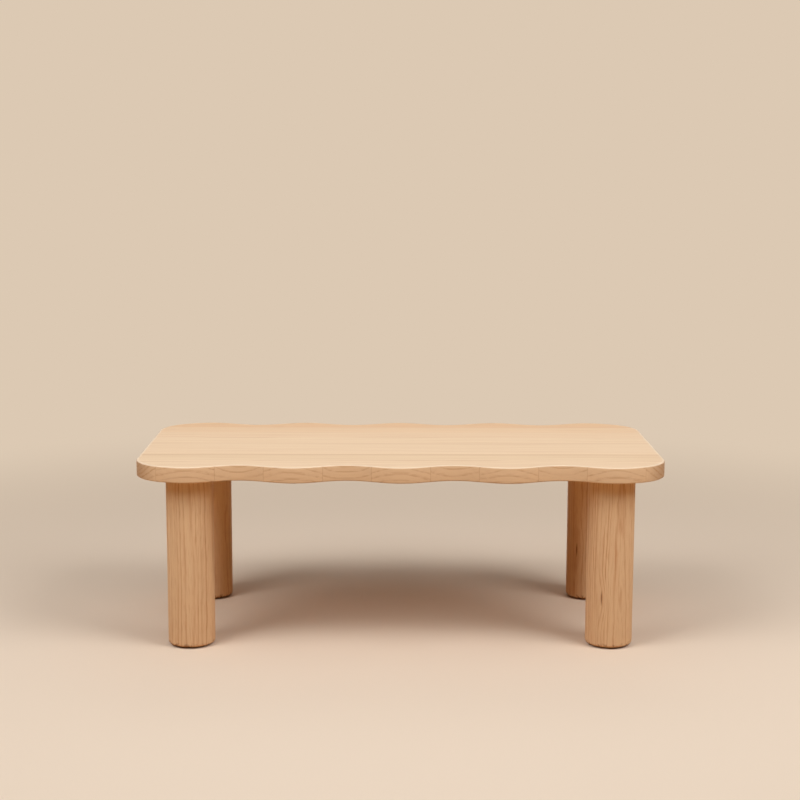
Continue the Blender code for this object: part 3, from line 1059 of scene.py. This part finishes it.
def painted_floor(colour, bounce, backdrop):
    """Floor paint, rolled matt: a pale even tone with a faint roller texture."""
    material, tree, shader = new_material("Floor paint, rolled matt")
    place = add_node(tree, "TexCoord", {}, "Object")
    roller = add_node(tree, "TexNoise", {"Vector": place, "Scale": 1 / ROLLER_DOT, "Detail": 3.0})
    light = add_node(tree, "MapRange", {0: roller, **NOISE_SPAN, 3: 0.992, 4: 1.008})
    paint = add_node(tree, "VectorMath", {0: colour, "Scale": light}, operation="SCALE")
    seen = add_node(tree, "LightPath", {}, "Is Camera Ray")
    for kind in ("Is Glossy Ray", "Is Transmission Ray"):
        ray = add_node(tree, "LightPath", {}, kind)
        seen = add_node(tree, "Math", {0: seen, 1: ray}, operation="MAXIMUM")
    paint = add_node(tree, "Mix", {0: seen, 6: opaque(bounce), 7: paint}, 2, data_type="RGBA")
    tree.links.new(paint, shader.inputs["Base Color"])
    shader.inputs["Roughness"].default_value = 0.9
    shader.inputs["Specular IOR Level"].default_value = 0.1

    # Far from the table the camera and mirrors see the plain pale backdrop itself
    away = add_node(tree, "VectorMath", {0: place}, "Value", operation="LENGTH")
    away = add_node(
        tree, "MapRange", {0: away, 1: FADE_START, 2: FADE_END}, interpolation_type="SMOOTHSTEP")
    share = add_node(tree, "Math", {0: seen, 1: away}, operation="MULTIPLY")
    glow = add_node(tree, "Emission", {"Color": opaque(backdrop), "Strength": 1.0})
    mixed = add_node(tree, "MixShader", {0: share, 1: shader.outputs[0], 2: glow})
    tree.links.new(mixed, tree.nodes["Material Output"].inputs["Surface"])
    return material


def lay_floor(studio):
    """Lay the floor, with a cove that bends up to the wall all round."""
    outside = studio.floor_radius + studio.cove_radius
    profile = [(0.0, 0.0)]
    cove = quarter_round(studio.cove_radius, COVE_STEPS)
    profile += [(outside - inset, rise) for inset, rise in cove]
    profile.append((outside, studio.wall_height))
    mesh = turned(profile, COVE_SIDES, "studio_floor")
    mesh.flip_normals()
    floor = bpy.data.objects.new("studio_floor", mesh)
    bpy.context.scene.collection.objects.link(floor)
    mesh.materials.append(painted_floor(studio.floor[:], studio.bounce[:], studio.backdrop[:]))


def hang_softbox(name, place, size, power):
    """Hang a rectangular softbox and aim it at the middle of the top."""
    data = bpy.data.lights.new(name, "AREA")
    data.shape = "RECTANGLE"
    data.size, data.size_y = size
    data.energy = power
    lamp = bpy.data.objects.new(name, data)
    lamp.location = place
    aim = Vector((0.0, 0.0, TOP_FACE)) - Vector(place)
    lamp.rotation_euler = aim.to_track_quat("-Z", "Y").to_euler()
    bpy.context.scene.collection.objects.link(lamp)


def light_sky(studio):
    """Give the scene an even light from all round."""
    world = bpy.data.worlds.new("studio")
    world.use_nodes = True
    sky = world.node_tree.nodes["Background"]
    sky.inputs["Color"].default_value = opaque(studio.sky_tone)
    sky.inputs["Strength"].default_value = studio.sky
    bpy.context.scene.world = world


def stand_camera(studio):
    """Stand the camera in front of the table, looking slightly down."""
    data = bpy.data.cameras.new("camera")
    data.lens = studio.lens
    camera = bpy.data.objects.new("camera", data)
    level = Euler((math.pi / 2 - studio.pitch, 0.0, studio.yaw)).to_matrix()
    leaning = level @ Matrix.Rotation(studio.roll, 3, "Z")
    camera.matrix_world = Matrix.Translation(studio.camera_place) @ leaning.to_4x4()
    bpy.context.scene.collection.objects.link(camera)
    bpy.context.scene.camera = camera


class COFFEE_OT_studio(bpy.types.Operator):
    """Lay the pale floor and its cove, hang the softboxes and stand the camera"""

    bl_idname = "coffee_table.studio"
    bl_label = "Studio"

    def execute(self, context):
        studio = context.scene.coffee_studio
        lay_floor(studio)
        for side, (place, size) in SOFTBOXES.items():
            hang_softbox(f"{side}_softbox", place, size, getattr(studio, f"{side}_power"))
        light_sky(studio)
        stand_camera(studio)
        context.scene.view_settings.view_transform = "Standard"
        return {"FINISHED"}


class COFFEE_PT_sidebar(bpy.types.Panel):
    """Buttons that build the table, piece by piece"""

    bl_idname = "COFFEE_PT_sidebar"
    bl_label = "Coffee table"
    bl_space_type = "VIEW_3D"
    bl_region_type = "UI"
    bl_category = "Coffee table"

    def draw(self, context):
        for operator in OPERATORS:
            self.layout.operator(operator.bl_idname)


SETTINGS = {
    "coffee_top": TopSettings,
    "coffee_legs": LegSettings,
    "coffee_fixings": FixingSettings,
    "coffee_studio": StudioSettings,
}
OPERATORS = (
    COFFEE_OT_planed_top,
    COFFEE_OT_turned_legs,
    COFFEE_OT_felt_glides,
    COFFEE_OT_rolled_bolts,
    COFFEE_OT_turned_inserts,
    COFFEE_OT_studio,
)
CLASSES = (*SETTINGS.values(), *OPERATORS, COFFEE_PT_sidebar)


def register():
    """Add the classes and the scene's settings."""
    for cls in CLASSES:
        bpy.utils.register_class(cls)
    for name, group in SETTINGS.items():
        setattr(bpy.types.Scene, name, PointerProperty(type=group))


def unregister():
    """Take the settings and the classes away again."""
    for name in SETTINGS:
        delattr(bpy.types.Scene, name)
    for cls in reversed(CLASSES):
        bpy.utils.unregister_class(cls)


def main():
    """Build the table and its studio."""
    register()
    bpy.ops.coffee_table.planed_top()
    bpy.ops.coffee_table.turned_legs()
    bpy.ops.coffee_table.felt_glides()
    bpy.ops.coffee_table.rolled_bolts()
    bpy.ops.coffee_table.turned_inserts()
    bpy.ops.coffee_table.studio()


if __name__ == "__main__":
    main()
